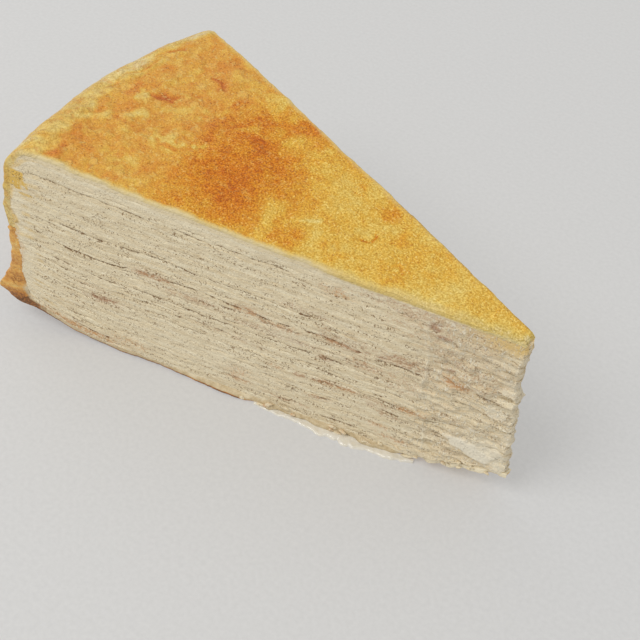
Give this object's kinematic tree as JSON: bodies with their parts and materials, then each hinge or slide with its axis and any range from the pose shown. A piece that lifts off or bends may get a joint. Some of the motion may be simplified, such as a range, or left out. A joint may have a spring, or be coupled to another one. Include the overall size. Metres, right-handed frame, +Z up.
{
  "type": "crepe cake slice",
  "caption": "Wedge slice of layered crepe cake: thin crepes with cream between, a golden browned top skin over a rounded shoulder, and a browned base crepe with a lip.",
  "frame": {"origin": "middle of the bounding box's bottom, on the surface the slice stands on", "axes": "+X from the round side to the tip, +Z up; the cut with the picture's view faces -Y"},
  "size_m": [0.131, 0.0688, 0.0569],
  "materials": {
    "golden_skin": "fine pebbled crepe skin, golden yellow with a toasted orange patch, soft sheen",
    "browned_crepe": "browned crepe, dry and slightly ragged",
    "crepe": "cut crepe, pale beige with toasted edges",
    "cream": "cut cream, pale and smooth with small pits"
  },
  "bodies": {
    "root": {"base_crepe": "browned_crepe", "cream_01": "cream", "crepe_01": "crepe", "cream_02": "cream", "crepe_02": "crepe", "cream_03": "cream", "crepe_03": "crepe", "cream_04": "cream", "crepe_04": "crepe", "cream_05": "cream", "crepe_05": "crepe", "cream_06": "cream", "crepe_06": "crepe", "cream_07": "cream", "crepe_07": "crepe", "cream_08": "cream", "crepe_08": "crepe", "cream_09": "cream", "crepe_09": "crepe", "cream_10": "cream", "crepe_10": "crepe", "cream_11": "cream", "crepe_11": "crepe", "cream_12": "cream", "crepe_12": "crepe", "cream_13": "cream", "crepe_13": "crepe", "cream_14": "cream", "crepe_14": "crepe", "cream_15": "cream", "crepe_15": "crepe", "cream_16": "cream", "crepe_16": "crepe", "cream_17": "cream", "crepe_17": "crepe", "cream_18": "cream", "crepe_18": "crepe", "cream_19": "cream", "crepe_19": "crepe", "cream_20": "cream", "crepe_20": "crepe", "cream_21": "cream", "top_crepe": "golden_skin"}
  },
  "joints": []
}
